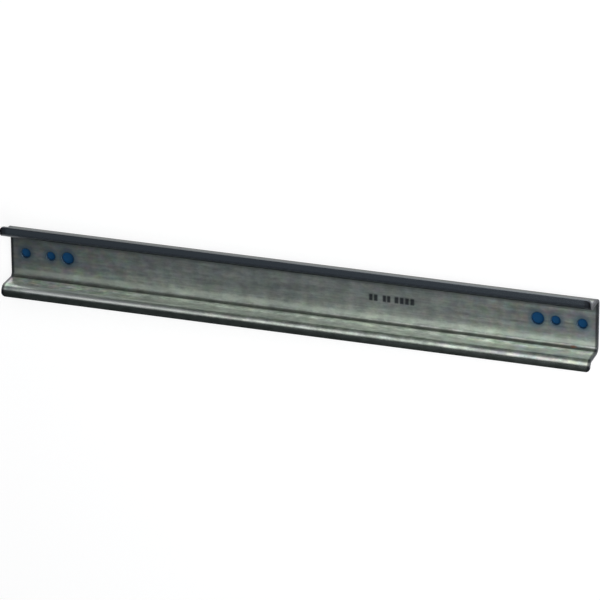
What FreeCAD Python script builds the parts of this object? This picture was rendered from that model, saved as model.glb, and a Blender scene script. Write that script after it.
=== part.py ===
import FreeCAD, Part
import Sketcher
import math
import os

# Top-hat mounting rail, 35 mm wide and 15 mm deep, cut to length and punched at both ends.
#
# One strip of steel is roll-formed into a hat: a flat web that lies on the mounting plate, two
# walls that rise from it, and two lips that turn outwards and carry the clip-on devices.
#
# The rail lies on the back of its web. X runs along it, Y across it and Z out of the channel.
# The origin is the middle of the web's back face.

OUT_FOLDER = "parts"

# Driving dimensions in millimetres: name, value, meaning
DIMENSIONS = [
    ("rail_length", 285.0, "cut length of the strip"),
    ("channel_width", 27.0, "across the outside of the two walls"),
    ("lip_reach", 4.0, "from a wall's outside to its lip's free edge"),
    ("rail_depth", 15.0, "from the web's back to the face of the lips"),
    ("sheet", 1.5, "thickness of the strip"),
    ("bend_radius", 1.8, "inside radius of the four bends"),
    ("lip_corner_radius", 2.0, "rounding of the lips' free corners"),
    ("end_hole_inset", 7.5, "rail end to the outermost hole"),
    ("end_hole_diameter", 4.6, "outermost hole"),
    ("middle_hole_inset", 20.0, "rail end to the middle hole"),
    ("middle_hole_diameter", 4.3, "middle hole"),
    ("main_hole_inset", 28.5, "rail end to the innermost hole"),
    ("main_hole_diameter", 5.8, "innermost hole, for the fixing screw"),
]

# Which end of a line or arc a constraint takes hold of
START, END, CENTRE = 1, 2, 3

# The sketch's own origin and its horizontal axis
ORIGIN = (-1, 1)
HORIZONTAL_AXIS = -1


def fill_sheet(doc):
    """The spreadsheet of driving dimensions, one named cell a row."""
    sheet = doc.addObject("Spreadsheet::Sheet", "Dimensions")
    for row, (alias, value, meaning) in enumerate(DIMENSIONS, start=1):
        sheet.set(f"A{row}", alias)
        sheet.set(f"B{row}", str(value))
        sheet.setAlias(f"B{row}", alias)
        sheet.set(f"C{row}", meaning)
    doc.recompute()
    return sheet


def origin_plane(body, role):
    """One of the body's own origin planes, found by its role."""
    return next(plane for plane in body.Origin.OriginFeatures if plane.Role == role)


def new_sketch(body, name, role):
    """An empty sketch on one of the body's origin planes."""
    sketch = body.newObject("Sketcher::SketchObject", name)
    sketch.AttachmentSupport = (origin_plane(body, role), "")
    sketch.MapMode = "FlatFace"
    return sketch


def measure(sketch, name, constraint, expression):
    """A named dimension of a sketch, driven by the spreadsheet."""
    index = sketch.addConstraint(constraint)
    sketch.renameConstraint(index, name)
    sketch.setExpression(f"Constraints.{name}", expression)


def half_section(body, size):
    """Half of the hat section, from the middle of the web to the free edge of one lip.

    In the sketch x is the rail's Y and y is its Z. The outline runs along the skin that faces
    the mounting plate, round the lip's cut edge, and back along the skin inside the channel.
    """
    sketch = new_sketch(body, "half_section", "YZ_Plane")
    wall_outside = size.channel_width / 2
    wall_inside = wall_outside - size.sheet
    outer_radius = size.bend_radius + size.sheet
    lip_edge = wall_outside + size.lip_reach
    lip_back_level = size.rail_depth - size.sheet
    foot = FreeCAD.Vector(wall_outside - outer_radius, outer_radius)
    crown = FreeCAD.Vector(wall_outside + size.bend_radius, size.rail_depth - outer_radius)

    def line(x_from, y_from, x_to, y_to):
        begin = FreeCAD.Vector(x_from, y_from)
        finish = FreeCAD.Vector(x_to, y_to)
        return sketch.addGeometry(Part.LineSegment(begin, finish), False)

    def quarter_turn(centre, radius, from_degrees):
        circle = Part.Circle(centre, FreeCAD.Vector(0, 0, 1), radius)
        begin = math.radians(from_degrees)
        finish = math.radians(from_degrees + 90)
        return sketch.addGeometry(Part.ArcOfCircle(circle, begin, finish), False)

    web_back = line(0, 0, foot.x, 0)
    foot_outer = quarter_turn(foot, outer_radius, 270)
    wall_outer = line(wall_outside, foot.y, wall_outside, crown.y)
    crown_inner = quarter_turn(crown, size.bend_radius, 90)
    lip_back = line(crown.x, lip_back_level, lip_edge, lip_back_level)
    lip_cut = line(lip_edge, lip_back_level, lip_edge, size.rail_depth)
    lip_face = line(lip_edge, size.rail_depth, crown.x, size.rail_depth)
    crown_outer = quarter_turn(crown, outer_radius, 90)
    wall_inner = line(wall_inside, crown.y, wall_inside, foot.y)
    foot_inner = quarter_turn(foot, size.bend_radius, 270)
    web_face = line(foot.x, size.sheet, 0, size.sheet)
    middle = line(0, size.sheet, 0, 0)

    def meet(first, first_end, second, second_end):
        link = Sketcher.Constraint("Coincident", first, first_end, second, second_end)
        sketch.addConstraint(link)

    def flow(first, first_end, second, second_end):
        link = Sketcher.Constraint("Tangent", first, first_end, second, second_end)
        sketch.addConstraint(link)

    meet(web_back, START, *ORIGIN)
    flow(web_back, END, foot_outer, START)
    flow(foot_outer, END, wall_outer, START)
    flow(wall_outer, END, crown_inner, END)
    flow(crown_inner, START, lip_back, START)
    meet(lip_back, END, lip_cut, START)
    meet(lip_cut, END, lip_face, START)
    flow(lip_face, END, crown_outer, START)
    flow(crown_outer, END, wall_inner, START)
    flow(wall_inner, END, foot_inner, END)
    flow(foot_inner, START, web_face, START)
    meet(web_face, END, middle, START)
    meet(middle, END, *ORIGIN)
    meet(foot_inner, CENTRE, foot_outer, CENTRE)
    meet(crown_inner, CENTRE, crown_outer, CENTRE)
    for level in (web_back, lip_back, lip_face, web_face):
        sketch.addConstraint(Sketcher.Constraint("Horizontal", level))
    for upright in (wall_outer, lip_cut, middle):
        sketch.addConstraint(Sketcher.Constraint("Vertical", upright))

    half_channel = Sketcher.Constraint("DistanceX", *ORIGIN, wall_outer, START, wall_outside)
    half_width = Sketcher.Constraint("DistanceX", *ORIGIN, lip_cut, START, lip_edge)
    depth = Sketcher.Constraint("DistanceY", *ORIGIN, lip_face, START, size.rail_depth)
    web_sheet = Sketcher.Constraint("DistanceY", middle, END, middle, START, size.sheet)
    lip_sheet = Sketcher.Constraint("DistanceY", lip_cut, START, lip_cut, END, size.sheet)
    foot_bend = Sketcher.Constraint("Radius", foot_inner, size.bend_radius)
    crown_bend = Sketcher.Constraint("Radius", crown_inner, size.bend_radius)
    half_width_rule = "Dimensions.channel_width / 2 + Dimensions.lip_reach"
    measure(sketch, "half_channel", half_channel, "Dimensions.channel_width / 2")
    measure(sketch, "half_width", half_width, half_width_rule)
    measure(sketch, "depth", depth, "Dimensions.rail_depth")
    measure(sketch, "web_sheet", web_sheet, "Dimensions.sheet")
    measure(sketch, "lip_sheet", lip_sheet, "Dimensions.sheet")
    measure(sketch, "foot_bend", foot_bend, "Dimensions.bend_radius")
    measure(sketch, "crown_bend", crown_bend, "Dimensions.bend_radius")
    return sketch


def end_holes(body, size):
    """The three round holes of the +X end, in line along the middle of the web."""
    sketch = new_sketch(body, "end_holes", "XY_Plane")
    for hole in ("end_hole", "middle_hole", "main_hole"):
        along = size.rail_length / 2 - getattr(size, f"{hole}_inset")
        diameter = getattr(size, f"{hole}_diameter")
        centre = FreeCAD.Vector(along, 0)
        outline = Part.Circle(centre, FreeCAD.Vector(0, 0, 1), diameter / 2)
        circle = sketch.addGeometry(outline, False)
        in_line = Sketcher.Constraint("PointOnObject", circle, CENTRE, HORIZONTAL_AXIS)
        sketch.addConstraint(in_line)
        place = Sketcher.Constraint("DistanceX", *ORIGIN, circle, CENTRE, along)
        place_rule = f"Dimensions.rail_length / 2 - Dimensions.{hole}_inset"
        measure(sketch, f"{hole}_place", place, place_rule)
        bore = Sketcher.Constraint("Diameter", circle, diameter)
        measure(sketch, f"{hole}_bore", bore, f"Dimensions.{hole}_diameter")
    return sketch


def mirror(body, name, original, role):
    """A copy of one feature on the other side of one of the body's origin planes."""
    mirrored = body.newObject("PartDesign::Mirrored", name)
    mirrored.Originals = [original]
    mirrored.MirrorPlane = (origin_plane(body, role), [""])
    body.Tip = mirrored
    body.Document.recompute()
    return mirrored


def lip_corner_edges(shape, size):
    """The names of the four short upright edges at the lips' free corners."""
    half_length = size.rail_length / 2
    half_width = size.channel_width / 2 + size.lip_reach
    names = []
    for number, edge in enumerate(shape.Edges, start=1):
        middle = edge.CenterOfMass
        at_rail_end = abs(abs(middle.x) - half_length) < 0.01
        at_lip_edge = abs(abs(middle.y) - half_width) < 0.01
        if at_rail_end and at_lip_edge:
            names.append(f"Edge{number}")
    return names


def rail(doc, size):
    """The whole rail: half a hat padded and mirrored, punched at both ends, corners rounded."""
    body = doc.addObject("PartDesign::Body", "din_rail")
    body.Label = "din_rail"

    section = half_section(body, size)
    doc.recompute()
    half_hat = body.newObject("PartDesign::Pad", "half_hat")
    half_hat.Profile = section
    half_hat.setExpression("Length", "Dimensions.rail_length")
    half_hat.Midplane = True
    doc.recompute()
    hat = mirror(body, "hat", half_hat, "XZ_Plane")

    holes = end_holes(body, size)
    doc.recompute()
    punched_end = body.newObject("PartDesign::Pocket", "punched_end")
    punched_end.Profile = holes
    punched_end.Type = "ThroughAll"
    punched_end.Midplane = True
    doc.recompute()
    if not punched_end.Shape.Volume < hat.Shape.Volume:
        raise RuntimeError("the holes cut nothing from the web")
    punched = mirror(body, "punched", punched_end, "YZ_Plane")

    lip_corners = body.newObject("PartDesign::Fillet", "lip_corners")
    lip_corners.Base = (punched, lip_corner_edges(punched.Shape, size))
    flat_of_lip = "Dimensions.lip_reach - Dimensions.bend_radius"
    lip_corners.setExpression("Radius", f"min(Dimensions.lip_corner_radius; {flat_of_lip})")
    body.Tip = lip_corners
    doc.recompute()
    return body


def check(doc, bodies):
    """Stops the build if any object failed or a piece is not one valid solid."""
    for item in doc.Objects:
        if "Invalid" in item.State or "Error" in item.State:
            raise RuntimeError(f"{item.Name} failed: {item.State}")
    for body in bodies:
        if body.Shape.isNull() or not body.Shape.isValid():
            raise RuntimeError(f"{body.Label} has no valid shape")
        if len(body.Shape.Solids) != 1:
            raise RuntimeError(f"{body.Label} is not one solid")


def main():
    doc = FreeCAD.newDocument("din_rail")
    size = fill_sheet(doc)
    bodies = [rail(doc, size)]
    check(doc, bodies)
    os.makedirs(OUT_FOLDER, exist_ok=True)
    for body in bodies:
        body.Shape.exportStep(os.path.join(OUT_FOLDER, f"{body.Label}.step"))
        box = body.Shape.BoundBox
        extent = f"{box.XLength:.2f} x {box.YLength:.2f} x {box.ZLength:.2f} mm"
        print(f"{body.Label}: {extent}, volume {body.Shape.Volume:.1f} mm3")


main()
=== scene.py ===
import math

import bmesh
import bpy
from mathutils import Matrix, Vector


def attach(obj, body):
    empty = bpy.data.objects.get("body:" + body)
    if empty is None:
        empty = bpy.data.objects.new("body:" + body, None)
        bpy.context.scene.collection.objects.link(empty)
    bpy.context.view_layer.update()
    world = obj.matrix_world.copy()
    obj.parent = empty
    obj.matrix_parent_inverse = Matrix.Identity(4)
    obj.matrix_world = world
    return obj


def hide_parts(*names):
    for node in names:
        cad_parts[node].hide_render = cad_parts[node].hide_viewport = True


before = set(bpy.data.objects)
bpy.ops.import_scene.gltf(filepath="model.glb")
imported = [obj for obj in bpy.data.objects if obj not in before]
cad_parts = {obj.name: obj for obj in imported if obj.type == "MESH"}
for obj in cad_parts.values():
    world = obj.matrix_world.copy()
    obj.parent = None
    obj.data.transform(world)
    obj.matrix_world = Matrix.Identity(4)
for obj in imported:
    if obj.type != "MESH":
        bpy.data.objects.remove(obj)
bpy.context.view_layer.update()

# Rail sizes used for the looks, in metres, in the rail's own frame
RAIL_HALF = 0.1425
WEB_HALF = 0.0105
WEB_FACE = 0.0015
LIP_LEVEL = 0.0150
LIP_EDGE = 0.0175
HOLES = ((0.114, 0.0029), (0.1225, 0.00215), (0.135, 0.0023))

# Rounding of the cut edges and of the holes' rims
EDGE_BREAK = 0.00025
EDGE_STEPS = 3
RIM_BREAK = 0.0002
RIM_STEPS = 2
ROUND_PROFILE = 0.5
SHARP_ANGLE = math.radians(35)
FLAT_ANGLE = math.radians(0.5)
MERGE_DISTANCE = 1e-6
RIM_TOLERANCE = 0.0002
RIM_CLEARANCE = 0.0006

# The view: azimuth from the rail's face towards its +X end, elevation towards +Y
AZIMUTH = math.radians(18.84)
ELEVATION = math.radians(22.81)
ROLL = math.radians(0.25)
FOCAL_PX = 4736.0
SCALE_PX_PER_MM = 2.1747
CENTRE_PX = (300.0, 286.7)
PICTURE_PX = 600.0
SENSOR_MM = 36.0
CLIP_NEAR = 0.05
CLIP_FAR = 40.0

# Lamps, world and stage
SIDE_AT = (0.21, 0.254, 0.544)
SIDE_SIZE = (1.30, 0.54)
SIDE_LEVEL = 0.88
KEY_AT = (0.58, 0.15, 0.42)
KEY_SIZE = (1.60, 1.60)
KEY_LEVEL = 0.85
WORLD_COLOUR = (0.80, 0.94, 1.12, 1)
WORLD_LEVEL = 0.055
FLOOR_GREY = (0.30, 0.30, 0.30, 1)
FLOOR_GLOW = 0.82
FLOOR_SIDES = 96
FLOOR_RADIUS = 9.0
FLOOR_RIM = 0.35
FLOOR_LEVEL = -0.0002
BLUE = (0.009, 0.052, 0.130, 1)
BLUE_GLOW = 0.02
BACKING_INSET = 0.002
BACKING_LEVEL = -0.0001

# Zinc: light and dark, and the two tones that each pattern multiplies it by
WHITE = (1, 1, 1, 1)
ZINC_LIGHT = (0.80, 0.85, 0.785, 1)
ZINC_DARK = (0.66, 0.705, 0.66, 1)
MOTTLE_TONES = ((0.66, 0.66, 0.66, 1), (1.18, 1.18, 1.18, 1))
STREAK_TONES = ((0.80, 0.80, 0.80, 1), (1.12, 1.12, 1.12, 1))
ACROSS_TONES = ((0.83, 0.85, 0.86, 1), (1.11, 1.11, 1.08, 1))
BLOTCH_TONES = ((0.60, 0.62, 0.60, 1), (1.16, 1.16, 1.14, 1))
MOTTLE_AMOUNT = 0.5
STREAK_AMOUNT = 0.35
ACROSS_AMOUNT = 0.6
BLOTCH_Y = (-0.0085, -0.0065)
BLOTCH_AMOUNT = (0.85, 0.25)

# Passivation tints near the ends; a painted blue glow round the holes and painted shade in their bores;
# painted shade darkening the web towards both ends
TINT_X = (0.055, 0.125)
TINT_AMOUNT = (0.14, 0.42)
TINT_STRENGTH = 0.7
TINT_GAIN = (2, 2, 2, 1)
PAINTED_HOLE_GLOW = (0.20, 0.37, 0.50, 1)
HOLE_GLOW_REACH = 0.0030
HOLE_GLOW_AMOUNT = 0.75
PAINTED_BORE_SHADE = (0.05, 0.13, 0.22, 1)
BORE_SHADE_REACH = (0.0001, 0.0006)
PAINTED_WEB_SHADE = (0.25, 0.28, 0.28, 1)
WEB_SHADE_LEFT_X = (-0.135, -0.070)
WEB_SHADE_LEFT_AMOUNT = 0.42
WEB_SHADE_RIGHT_X = (0.085, 0.125)
WEB_SHADE_RIGHT_AMOUNT = 0.28
WEB_SHADE_Z = (0.0020, 0.0032)

# Lip faces: painted shade in two tones, darker than the rest of the zinc and the lower lip darker than
# the upper, clouded, with a painted highlight on the lower lip beside its bend, stronger towards +X
LIP_Z = (LIP_LEVEL - 0.0004, LIP_LEVEL - 0.00003)
LIP_SIDE_Y = (-0.005, 0.005)
PAINTED_UPPER_LIP_SHADE = (0.37, 0.415, 0.455, 1)
PAINTED_LOWER_LIP_SHADE = (0.28, 0.31, 0.265, 1)
LIP_CLOUD = (0.66, 0.68, 0.66, 1)
LIP_CLOUD_RANGE = (0.34, 0.66)
PAINTED_LIP_HIGHLIGHT = (0.66, 0.70, 0.64, 1)
LIP_HIGHLIGHT_Y = (-0.0164, -0.0153)
LIP_HIGHLIGHT_X = (-0.050, 0.100)
LIP_HIGHLIGHT_AMOUNT = (0.10, 0.55)

# Painted shade in the lower folds: a dark line round a centre in |y| and z that drifts towards +X
PAINTED_CREASE_SHADE = (0.06, 0.07, 0.06, 1)
CREASE_SHADE_AMOUNT = 0.82
CREASE_CENTRE = (0.0, 0.0116, 0.0024)
CREASE_CORE = 0.0006
CREASE_WIDTH = (0.0015, 0.0018)
CREASE_WIDTH_X = (0.0, 0.130)
CREASE_FLOOR_Z = (0.0008, 0.0014)
DRIFT_X = (-0.020, 0.130)
DRIFT_Y = 0.00018
DRIFT_Z = 0.00034

# Painted shade on the outer foot of the walls
PAINTED_FOOT_SHADE = (0.08, 0.085, 0.09, 1)
FOOT_SHADE_AMOUNT = 0.88
FOOT_Y = (0.0110, 0.0132)
FOOT_Z = (0.0040, 0.0075)
FOOT_SLOPE = 0.35
FOOT_EDGE = (0.0108, 0.0118)

# Lower wall: a strip of painted shade, and a painted highlight on the crown at its -X end
SHADE = (0.30, 0.32, 0.30, 1)
SHADE_Y = (-0.0118, -0.0112)
SHADE_Z = (0.0075, 0.0128)
SHADE_SOFT = 0.0015
SHADE_X = (-0.120, -0.060)
SHADE_AMOUNT = 0.50
PAINTED_CROWN_HIGHLIGHT = (0.97, 1.0, 0.96, 1)
CROWN_Y = (-0.0115, -0.0111)
CROWN_Z = (0.0105, 0.0125)
CROWN_X = (-0.120, -0.010)
CROWN_HIGHLIGHT_AMOUNT = 0.95
CROWN_START_X = (-0.139, -0.128)

# Web: a painted highlight beside the lower fold, and a strip of painted shade below the upper wall
GLEAM = (0.94, 1.0, 0.92, 1)
GLEAM_AMOUNT = 0.50
GLEAM_Y = (-0.0104, -0.0080)
GLEAM_SOFT = 0.0008
GLEAM_Z = (0.0020, 0.0026)
PAINTED_WALL_SHADE = (0.20, 0.21, 0.22, 1)
WALL_SHADE_AMOUNT = 0.55
UNDER_Y = (0.0058, 0.0071)
UNDER_Z = (0.0016, 0.0022)

# Painted shade at the root of the upper bend, and the lips' bare slit edges, darkened further by
# painted shade towards -X
PAINTED_BEND_SHADE = (0.05, 0.055, 0.065, 1)
BEND_SHADE_Y = (0.0114, 0.0121)
BEND_SHADE_Z = (0.0122, 0.0129)
BEND_SHADE_FADE_Y = (0.0128, 0.0152)
SHADED_SLIT_STEEL = (0.07, 0.075, 0.08, 1)
SLIT_Y = (LIP_EDGE - 0.0004, LIP_EDGE - 0.0001)
SLIT_X = (-0.100, 0.140)
SLIT_SHADE_AMOUNT = (0.88, 0.70)

# Ends: painted shade on the tips of the upper wall, darkening over the last two millimetres of each
# end, and the cut faces, bare steel painted near-black as shade
PAINTED_TIP_SHADE = (0.16, 0.17, 0.19, 1)
TIP_SHADE_AMOUNT = 0.75
TIP_X = (RAIL_HALF - 0.0040, RAIL_HALF - 0.0025)
TIP_Y = (0.0112, 0.0120)
TIP_Z = (0.0060, 0.0090)
END = (0.07, 0.075, 0.085, 1)
END_AMOUNT = 0.86
END_X = (RAIL_HALF - 0.0018, RAIL_HALF - 0.0009)
SHADED_CUT_STEEL = (0.055, 0.06, 0.07, 1)
CUT_X = (RAIL_HALF - 0.0003, RAIL_HALF - 0.00005)

# Printed fields on the web: start, end and number of blocks
INK = (0.02, 0.026, 0.04, 1)
INK_AMOUNT = 0.86
PRINT_FIELDS = ((0.0336, 0.0382, 2), (0.0402, 0.0443, 2), (0.0458, 0.0558, 4))
PRINT_HEIGHT = 0.0016
PRINT_SOFT_X = 0.0002
PRINT_SOFT_Y = 0.0004
PRINT_Z = (0.0014, 0.0016)
PRINT_SOFT_Z = 0.00005
BLOCK = (0.12, 0.88)
BLOCK_SOFT = 0.16
BLOCK_GAP = 0.40

# One rust spot
RUST = (0.15, 0.058, 0.03, 1)
RUST_SPOT = (0.1311, -0.0117, 0.0021)
RUST_STRETCH = (0.45, 1.0, 1.0)
RUST_RANGE = (0.0003, 0.0011)
RUST_AMOUNT = 0.85
RUST_RAGGED = 0.0012

# Gloss and relief
WEB_METAL = 0.93
BRIGHT_METAL = 0.97
DULL_METAL = 0.25
WEB_ROUGH = 0.36
ROUGH_SWING = 0.04
LIP_ROUGH = 0.25
DULL_ROUGH = 0.65
CREASE_DULL = 0.5
STREAK_HEIGHT = 0.25
BUMP_STRENGTH = 0.35
BUMP_DISTANCE = 0.00006


class Nodes:
    """Short hand for building a node tree."""

    def __init__(self, tree):
        self.tree = tree

    def add(self, kind, **settings):
        node = self.tree.nodes.new(kind)
        for name, value in settings.items():
            setattr(node, name, value)
        return node

    def put(self, socket, value):
        """Links a socket, or sets its value."""
        if isinstance(value, bpy.types.NodeSocket):
            self.tree.links.new(value, socket)
        else:
            socket.default_value = value

    def math(self, operation, a, b=0.0, clamp=False):
        node = self.add("ShaderNodeMath", operation=operation, use_clamp=clamp)
        self.put(node.inputs[0], a)
        self.put(node.inputs[1], b)
        return node.outputs[0]

    def product(self, first, *others):
        for other in others:
            first = self.math("MULTIPLY", first, other)
        return first

    def larger(self, a, b):
        return self.math("MAXIMUM", a, b)

    def minus(self, a, b):
        return self.math("SUBTRACT", a, b)

    def step(self, value, low, high, to_low=0.0, to_high=1.0):
        """Smooth ramp of a value between two levels."""
        node = self.add("ShaderNodeMapRange", interpolation_type="SMOOTHSTEP")
        self.put(node.inputs["Value"], value)
        self.put(node.inputs["From Min"], low)
        self.put(node.inputs["From Max"], high)
        self.put(node.inputs["To Min"], to_low)
        self.put(node.inputs["To Max"], to_high)
        return node.outputs["Result"]

    def fall(self, value, low, high, top=1.0):
        """Smooth ramp down to nothing."""
        return self.step(value, low, high, top, 0.0)

    def band(self, value, low, high, soft):
        """1 where a value lies between two limits, with soft edges."""
        rise = self.step(value, low - soft, low + soft)
        fall = self.fall(value, high - soft, high + soft)
        return self.product(rise, fall)

    def blend(self, factor, a, b):
        """Plain number between a and b."""
        node = self.add("ShaderNodeMix", data_type="FLOAT")
        self.put(node.inputs["Factor"], factor)
        self.put(node.inputs[2], a)
        self.put(node.inputs[3], b)
        return node.outputs[0]

    def mix(self, factor, a, b, blend="MIX"):
        node = self.add("ShaderNodeMix", data_type="RGBA", blend_type=blend)
        self.put(node.inputs["Factor"], factor)
        self.put(node.inputs[6], a)
        self.put(node.inputs[7], b)
        return node.outputs[2]

    def patterned(self, colour, amount, pattern, low, high, tones):
        """Colour multiplied by two tones, chosen by a pattern."""
        tone = self.mix(self.step(pattern, low, high), *tones)
        return self.mix(amount, colour, tone, "MULTIPLY")

    def stretched(self, coordinate, scale, offset=(0.0, 0.0, 0.0)):
        node = self.add("ShaderNodeMapping")
        self.put(node.inputs["Vector"], coordinate)
        node.inputs["Scale"].default_value = scale
        node.inputs["Location"].default_value = offset
        return node.outputs["Vector"]

    def noise(self, coordinate, detail, roughness, output="Fac"):
        node = self.add("ShaderNodeTexNoise")
        self.put(node.inputs["Vector"], coordinate)
        node.inputs["Scale"].default_value = 1.0
        node.inputs["Detail"].default_value = detail
        node.inputs["Roughness"].default_value = roughness
        return node.outputs[output]

    def distance(self, a, centre, stretch=(1.0, 1.0, 1.0)):
        """Distance of a point from a centre, each axis weighted."""
        moved = self.add("ShaderNodeVectorMath", operation="SUBTRACT")
        self.put(moved.inputs[0], a)
        moved.inputs[1].default_value = centre
        scaled = self.add("ShaderNodeVectorMath", operation="MULTIPLY")
        self.put(scaled.inputs[0], moved.outputs[0])
        scaled.inputs[1].default_value = stretch
        length = self.add("ShaderNodeVectorMath", operation="LENGTH")
        self.put(length.inputs[0], scaled.outputs[0])
        return length.outputs["Value"]

    def joined(self, x, y, z):
        node = self.add("ShaderNodeCombineXYZ")
        for socket, value in zip(node.inputs, (x, y, z)):
            self.put(socket, value)
        return node.outputs[0]


class Place:
    """A point of the rail in its own frame, whole and by axis."""

    def __init__(self, n):
        self.whole = n.add("ShaderNodeTexCoord").outputs["Object"]
        split = n.add("ShaderNodeSeparateXYZ")
        n.put(split.inputs[0], self.whole)
        self.x, self.y, self.z = split.outputs
        self.far_x = n.math("ABSOLUTE", self.x)
        self.far_y = n.math("ABSOLUTE", self.y)


class Patterns:
    """Noise fields of the zinc, each with its own stretch along the rail."""

    def __init__(self, n, at):
        self.cloud = n.noise(n.stretched(at, (70.0, 230.0, 230.0)), 4.0, 0.6)
        self.mottle = n.noise(n.stretched(at, (260.0, 520.0, 520.0), (3.0, 1.0, 2.0)), 3.0, 0.6)
        self.streak = n.noise(n.stretched(at, (18.0, 1700.0, 1700.0)), 2.0, 0.6)
        self.across = n.noise(n.stretched(at, (170.0, 40.0, 40.0), (7.0, 0.0, 0.0)), 2.0, 0.5)
        self.blotch = n.noise(n.stretched(at, (160.0, 330.0, 330.0), (5.0, 9.0, 4.0)), 3.0, 0.65)
        self.tint = n.noise(n.stretched(at, (190.0, 240.0, 240.0), (11.0, 5.0, 0.0)), 2.0, 0.5, "Color")


def zinc(n, at, seen):
    """Cloudy patches, marks along the rolling direction, faint bands across it."""
    colour = n.mix(n.step(seen.cloud, 0.3, 0.7), ZINC_DARK, ZINC_LIGHT)
    colour = n.patterned(colour, MOTTLE_AMOUNT, seen.mottle, 0.25, 0.75, MOTTLE_TONES)
    colour = n.patterned(colour, STREAK_AMOUNT, seen.streak, 0.25, 0.75, STREAK_TONES)
    colour = n.patterned(colour, ACROSS_AMOUNT, seen.across, 0.3, 0.7, ACROSS_TONES)
    amount = n.step(at.y, *BLOTCH_Y, *BLOTCH_AMOUNT)
    return n.patterned(colour, amount, seen.blotch, 0.32, 0.68, BLOTCH_TONES)


def towards_ends(n, at, seen, colour):
    """Passivation tints, a painted blue glow round the holes, painted shade in their bores and painted
    shade darkening the web towards both ends.
    """
    tone = n.mix(TINT_STRENGTH, WHITE, n.mix(1.0, seen.tint, TINT_GAIN, "MULTIPLY"))
    tinted = n.mix(1.0, colour, tone, "MULTIPLY")
    colour = n.mix(n.step(at.far_x, *TINT_X, *TINT_AMOUNT), colour, tinted)
    mirrored = n.joined(at.far_x, at.y, at.z)
    hole_glow = bore_shade = 0.0
    for hole_x, radius in HOLES:
        away = n.distance(mirrored, (hole_x, 0.0, WEB_FACE))
        hole_glow = n.larger(hole_glow, n.fall(away, radius, radius + HOLE_GLOW_REACH, HOLE_GLOW_AMOUNT))
        bore_shade = n.larger(bore_shade, n.fall(away, radius + BORE_SHADE_REACH[0], radius + BORE_SHADE_REACH[1]))
    colour = n.mix(hole_glow, colour, PAINTED_HOLE_GLOW)
    colour = n.mix(bore_shade, colour, PAINTED_BORE_SHADE)
    left = n.fall(at.x, *WEB_SHADE_LEFT_X, WEB_SHADE_LEFT_AMOUNT)
    right = n.step(at.x, *WEB_SHADE_RIGHT_X, 0.0, WEB_SHADE_RIGHT_AMOUNT)
    web_shade = n.product(n.larger(left, right), n.fall(at.z, *WEB_SHADE_Z))
    return n.mix(web_shade, colour, PAINTED_WEB_SHADE)


# Painted shade: the lips get darker tones than the zinc, the lower lip darker than the upper, plus a
# painted highlight beside the lower lip's bend that grows towards +X.
def shaded_lips(n, at, seen, colour, lip):
    lip_highlight = n.product(n.step(at.y, *LIP_HIGHLIGHT_Y), n.step(at.x, *LIP_HIGHLIGHT_X, *LIP_HIGHLIGHT_AMOUNT))
    lower = n.mix(lip_highlight, PAINTED_LOWER_LIP_SHADE, PAINTED_LIP_HIGHLIGHT)
    plain = n.mix(n.step(at.y, *LIP_SIDE_Y), lower, PAINTED_UPPER_LIP_SHADE)
    dark = n.mix(1.0, plain, LIP_CLOUD, "MULTIPLY")
    return n.mix(lip, colour, n.mix(n.step(seen.blotch, *LIP_CLOUD_RANGE), dark, plain))


def crease_mask(n, at):
    """Painted shade: the dark line in the two lower folds."""
    line_y = n.minus(at.far_y, n.step(at.x, *DRIFT_X, 0.0, DRIFT_Y))
    line_z = n.minus(at.z, n.step(at.x, *DRIFT_X, 0.0, DRIFT_Z))
    away = n.distance(n.joined(0.0, line_y, line_z), CREASE_CENTRE)
    width = n.step(at.x, *CREASE_WIDTH_X, *CREASE_WIDTH)
    return n.product(n.fall(away, CREASE_CORE, width), n.step(at.z, *CREASE_FLOOR_Z))


# Painted shade darkening the outside of the walls near the floor.
def foot_shade_mask(n, at):
    slanted = n.minus(at.far_y, n.product(at.z, FOOT_SLOPE))
    return n.product(
        n.step(at.far_y, *FOOT_Y), n.fall(at.z, *FOOT_Z), n.step(slanted, *FOOT_EDGE), FOOT_SHADE_AMOUNT
    )


def shade_mask(n, at):
    strip = n.product(n.fall(at.y, *SHADE_Y), n.band(at.z, *SHADE_Z, SHADE_SOFT))
    return n.product(strip, n.step(at.x, *SHADE_X, 0.0, SHADE_AMOUNT))


# Painted highlight on the lower wall's crown towards its -X end.
def crown_highlight_mask(n, at, lip):
    bend = n.product(n.fall(at.y, *CROWN_Y), n.step(at.z, *CROWN_Z), n.minus(1.0, lip))
    along = n.product(n.fall(at.x, *CROWN_X, CROWN_HIGHLIGHT_AMOUNT), n.step(at.x, *CROWN_START_X))
    return n.product(bend, along)


# Painted shade in the lower creases, on the outer foot, along the lower wall, below the upper wall and
# at the upper bend's root; painted highlights on the lower wall's crown and on the web beside the lower
# fold.
def folds_and_walls(n, at, colour, lip, crease):
    colour = n.mix(n.product(crease, CREASE_SHADE_AMOUNT), colour, PAINTED_CREASE_SHADE)
    colour = n.mix(foot_shade_mask(n, at), colour, PAINTED_FOOT_SHADE)
    colour = n.mix(shade_mask(n, at), colour, SHADE)
    colour = n.mix(crown_highlight_mask(n, at, lip), colour, PAINTED_CROWN_HIGHLIGHT)
    gleam = n.product(n.band(at.y, *GLEAM_Y, GLEAM_SOFT), n.fall(at.z, *GLEAM_Z), GLEAM_AMOUNT)
    colour = n.mix(gleam, colour, GLEAM)
    wall_shade = n.product(n.step(at.y, *UNDER_Y), n.fall(at.z, *UNDER_Z), WALL_SHADE_AMOUNT)
    colour = n.mix(wall_shade, colour, PAINTED_WALL_SHADE)
    bend_shade = n.product(n.step(at.y, *BEND_SHADE_Y), n.step(at.z, *BEND_SHADE_Z))
    return n.mix(bend_shade, colour, n.mix(n.step(at.y, *BEND_SHADE_FADE_Y), PAINTED_BEND_SHADE, PAINTED_UPPER_LIP_SHADE))


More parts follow.
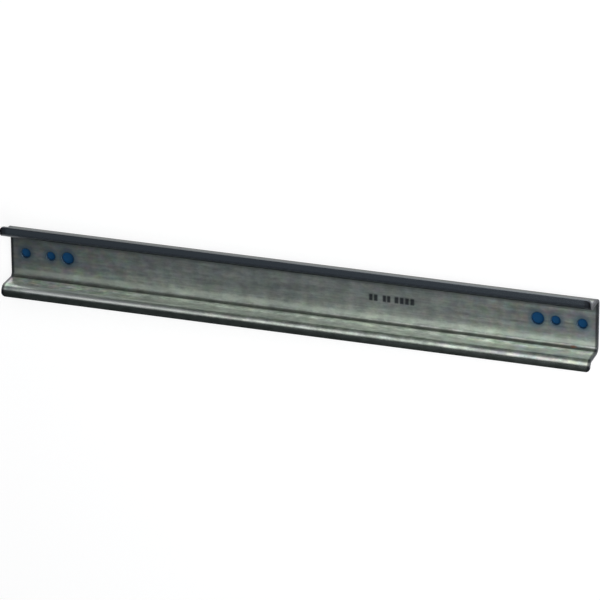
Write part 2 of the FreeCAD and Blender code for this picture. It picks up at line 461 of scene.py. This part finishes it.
# Bare slit edges with painted shade darker towards -X, painted shade on the upper wall's tips, ends
# darkened over their last two millimetres, and cut faces of bare steel painted near-black as shade.
def edges_and_ends(n, at, colour, cut):
    slit = n.product(n.step(at.far_y, *SLIT_Y), n.step(at.x, *SLIT_X, *SLIT_SHADE_AMOUNT))
    colour = n.mix(slit, colour, SHADED_SLIT_STEEL)
    tip_shade = n.product(n.step(at.far_x, *TIP_X), n.step(at.y, *TIP_Y), n.step(at.z, *TIP_Z), TIP_SHADE_AMOUNT)
    colour = n.mix(tip_shade, colour, PAINTED_TIP_SHADE)
    colour = n.mix(n.product(n.step(at.far_x, *END_X), END_AMOUNT), colour, END)
    return n.mix(cut, colour, SHADED_CUT_STEEL)


def block_print(n, at):
    """Plain soft blocks on the web where the print is."""
    ink = 0.0
    for start, stop, count in PRINT_FIELDS:
        pitch = (stop - start) / count
        phase = n.math("FRACT", n.math("DIVIDE", n.minus(at.x, start), pitch))
        blocks = n.larger(n.band(phase, *BLOCK, BLOCK_SOFT), BLOCK_GAP)
        ink = n.larger(ink, n.product(blocks, n.band(at.x, start, stop, PRINT_SOFT_X)))
    rows = n.band(at.y, -PRINT_HEIGHT, PRINT_HEIGHT, PRINT_SOFT_Y)
    face = n.band(at.z, *PRINT_Z, PRINT_SOFT_Z)
    return n.product(ink, rows, face, INK_AMOUNT)


def rust_mask(n, at, seen):
    """One ragged spot of rust in a fold."""
    ragged = n.product(n.minus(seen.mottle, 0.5), RUST_RAGGED)
    spot = n.math("ADD", n.distance(at.whole, RUST_SPOT, RUST_STRETCH), ragged)
    return n.fall(spot, *RUST_RANGE, RUST_AMOUNT)


def galvanised():
    """Dull zinc on rolled strip, with painted shade and highlights on the lips, folds, walls and hole
    bores, a painted blue glow round the holes, dark cut ends of bare steel partly painted as shade, and
    block print.
    """
    material = bpy.data.materials.new("galvanised_steel")
    material.use_nodes = True
    n = Nodes(material.node_tree)
    shader = material.node_tree.nodes["Principled BSDF"]
    at = Place(n)
    seen = Patterns(n, at.whole)
    lip = n.step(at.z, *LIP_Z)
    cut = n.step(at.far_x, *CUT_X)
    crease = crease_mask(n, at)
    rust = rust_mask(n, at, seen)

    colour = zinc(n, at, seen)
    colour = towards_ends(n, at, seen, colour)
    colour = shaded_lips(n, at, seen, colour, lip)
    colour = folds_and_walls(n, at, colour, lip, crease)
    colour = edges_and_ends(n, at, colour, cut)
    colour = n.mix(block_print(n, at), colour, INK)
    colour = n.mix(rust, colour, RUST)
    n.put(shader.inputs["Base Color"], colour)

    dull = n.larger(rust, cut)
    metal = n.blend(n.larger(lip, crease), WEB_METAL, BRIGHT_METAL)
    n.put(shader.inputs["Metallic"], n.blend(dull, metal, DULL_METAL))
    rough = n.step(seen.streak, 0.3, 0.7, WEB_ROUGH - ROUGH_SWING, WEB_ROUGH + ROUGH_SWING)
    rough = n.blend(lip, rough, LIP_ROUGH)
    rough = n.blend(n.larger(dull, n.product(crease, CREASE_DULL)), rough, DULL_ROUGH)
    n.put(shader.inputs["Roughness"], rough)

    bump = n.add("ShaderNodeBump")
    bump.inputs["Strength"].default_value = BUMP_STRENGTH
    bump.inputs["Distance"].default_value = BUMP_DISTANCE
    n.put(bump.inputs["Height"], n.math("ADD", n.product(seen.streak, STREAK_HEIGHT), seen.cloud))
    n.put(shader.inputs["Normal"], bump.outputs["Normal"])
    return material


def stage_material(name, colour, glow):
    """A matt stage: lit for shadows, and raised by a glow where it is seen or mirrored."""
    material = bpy.data.materials.new(name)
    material.use_nodes = True
    n = Nodes(material.node_tree)
    nodes = material.node_tree.nodes
    nodes.remove(nodes["Principled BSDF"])
    matt = n.add("ShaderNodeBsdfDiffuse")
    matt.inputs["Color"].default_value = colour
    light = n.add("ShaderNodeEmission")
    strongest = max(colour[:3])
    light.inputs["Color"].default_value = (*(c / strongest for c in colour[:3]), 1)
    path = n.add("ShaderNodeLightPath")
    seen = n.math("ADD", path.outputs["Is Camera Ray"], path.outputs["Is Glossy Ray"])
    seen = n.math("ADD", seen, path.outputs["Is Transmission Ray"], clamp=True)
    n.put(light.inputs["Strength"], n.product(seen, glow))
    both = n.add("ShaderNodeAddShader")
    n.put(both.inputs[0], matt.outputs[0])
    n.put(both.inputs[1], light.outputs[0])
    n.put(nodes["Material Output"].inputs["Surface"], both.outputs[0])
    return material


def placed(name, mesh, material):
    piece = bpy.data.objects.new(name, mesh)
    bpy.context.scene.collection.objects.link(piece)
    mesh.materials.append(material)
    return piece


def sharp_edges(work, wanted):
    found = []
    for edge in work.edges:
        if len(edge.link_faces) == 2 and edge.calc_face_angle() > SHARP_ANGLE and wanted(edge):
            found.append(edge)
    return found


def on_rim(edge):
    """Whether an edge lies on a hole's rim."""
    for hole_x, radius in HOLES:
        away = [math.hypot(abs(v.co.x) - hole_x, v.co.y) for v in edge.verts]
        if max(abs(a - radius) for a in away) < RIM_TOLERANCE:
            return True
    return False


def off_holes(edge):
    """Whether an edge starts clear of every hole."""
    start = edge.verts[0].co
    for hole_x, radius in HOLES:
        if math.hypot(abs(start.x) - hole_x, start.y) < radius + RIM_CLEARANCE:
            return False
    return True


def broken(work, edges, offset, steps):
    bmesh.ops.bevel(
        work,
        geom=edges,
        offset=offset,
        offset_type="OFFSET",
        segments=steps,
        profile=ROUND_PROFILE,
        affect="EDGES",
    )


def dressed_rail(source, material):
    """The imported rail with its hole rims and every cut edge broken."""
    work = bmesh.new()
    work.from_mesh(source.data)
    bmesh.ops.remove_doubles(work, verts=work.verts, dist=MERGE_DISTANCE)
    bmesh.ops.dissolve_limit(work, angle_limit=FLAT_ANGLE, verts=work.verts, edges=work.edges)
    broken(work, sharp_edges(work, on_rim), RIM_BREAK, RIM_STEPS)
    broken(work, sharp_edges(work, off_holes), EDGE_BREAK, EDGE_STEPS)
    mesh = bpy.data.meshes.new("rail_steel")
    work.to_mesh(mesh)
    work.free()
    for face in mesh.polygons:
        face.use_smooth = True
    piece = placed("rail_steel", mesh, material)
    smooth = piece.modifiers.new("even_normals", "WEIGHTED_NORMAL")
    smooth.keep_sharp = False
    return piece


def flat_sheet(name, half_x, half_y, level, material):
    mesh = bpy.data.meshes.new(name)
    corners = [(-half_x, -half_y), (half_x, -half_y), (half_x, half_y), (-half_x, half_y)]
    mesh.from_pydata([(x, y, level) for x, y in corners], [], [(0, 1, 2, 3)])
    placed(name, mesh, material)


def studio_floor(material):
    """A round pale floor that turns up into a low wall at its far edge."""
    turns = [math.tau * i / FLOOR_SIDES for i in range(FLOOR_SIDES)]
    ring = [(FLOOR_RADIUS * math.cos(turn), FLOOR_RADIUS * math.sin(turn)) for turn in turns]
    verts = [(x, y, FLOOR_LEVEL) for x, y in ring]
    verts += [(x, y, FLOOR_LEVEL + FLOOR_RIM) for x, y in ring]
    faces = [tuple(range(FLOOR_SIDES))]
    for i in range(FLOOR_SIDES):
        after = (i + 1) % FLOOR_SIDES
        faces.append((after, i, FLOOR_SIDES + i, FLOOR_SIDES + after))
    mesh = bpy.data.meshes.new("floor")
    mesh.from_pydata(verts, [], faces)
    placed("floor", mesh, material)


def softbox(name, place, size, level):
    """A rectangular lamp, turned to the origin, whose face has the given brightness."""
    lamp = bpy.data.lights.new(name, "AREA")
    lamp.shape = "RECTANGLE"
    lamp.size, lamp.size_y = size
    lamp.energy = level * 4.0 * size[0] * size[1]
    holder = bpy.data.objects.new(name, lamp)
    holder.location = place
    holder.rotation_euler = Vector(place).to_track_quat("Z", "Y").to_euler()
    bpy.context.scene.collection.objects.link(holder)


def studio_world():
    """Cool dim surroundings."""
    world = bpy.data.worlds.new("studio")
    world.use_nodes = True
    bpy.context.scene.world = world
    back = world.node_tree.nodes["Background"]
    back.inputs["Color"].default_value = WORLD_COLOUR
    back.inputs["Strength"].default_value = WORLD_LEVEL


def camera():
    sa, ca = math.sin(AZIMUTH), math.cos(AZIMUTH)
    se, ce = math.sin(ELEVATION), math.cos(ELEVATION)
    toward = Vector((sa * ce, se, ca * ce))
    across = Vector((ca, 0.0, -sa))
    upward = Vector((-se * sa, ce, -se * ca))
    right = math.cos(ROLL) * across - math.sin(ROLL) * upward
    up = math.sin(ROLL) * across + math.cos(ROLL) * upward
    lens = bpy.data.cameras.new("camera")
    lens.sensor_width = SENSOR_MM
    lens.lens = FOCAL_PX / PICTURE_PX * SENSOR_MM
    lens.clip_start = CLIP_NEAR
    lens.clip_end = CLIP_FAR
    holder = bpy.data.objects.new("camera", lens)
    px_per_m = SCALE_PX_PER_MM * 1000.0
    distance = FOCAL_PX / px_per_m
    off_right = (CENTRE_PX[0] - PICTURE_PX / 2) / px_per_m
    off_down = (CENTRE_PX[1] - PICTURE_PX / 2) / px_per_m
    place = toward * distance - right * off_right + up * off_down
    turn = Matrix((right, up, toward)).transposed().to_4x4()
    holder.matrix_world = Matrix.Translation(place) @ turn
    bpy.context.scene.collection.objects.link(holder)
    bpy.context.scene.camera = holder


rail = dressed_rail(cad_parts["din_rail"], galvanised())
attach(rail, "root")
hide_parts("din_rail")

studio_floor(stage_material("floor", FLOOR_GREY, FLOOR_GLOW))
backing = stage_material("blue_backing", BLUE, BLUE_GLOW)
flat_sheet("blue_backing", RAIL_HALF - BACKING_INSET, WEB_HALF, BACKING_LEVEL, backing)

studio_world()
softbox("side_soft", SIDE_AT, SIDE_SIZE, SIDE_LEVEL)
softbox("key_soft", KEY_AT, KEY_SIZE, KEY_LEVEL)
camera()

bpy.context.scene.view_settings.view_transform = "Standard"
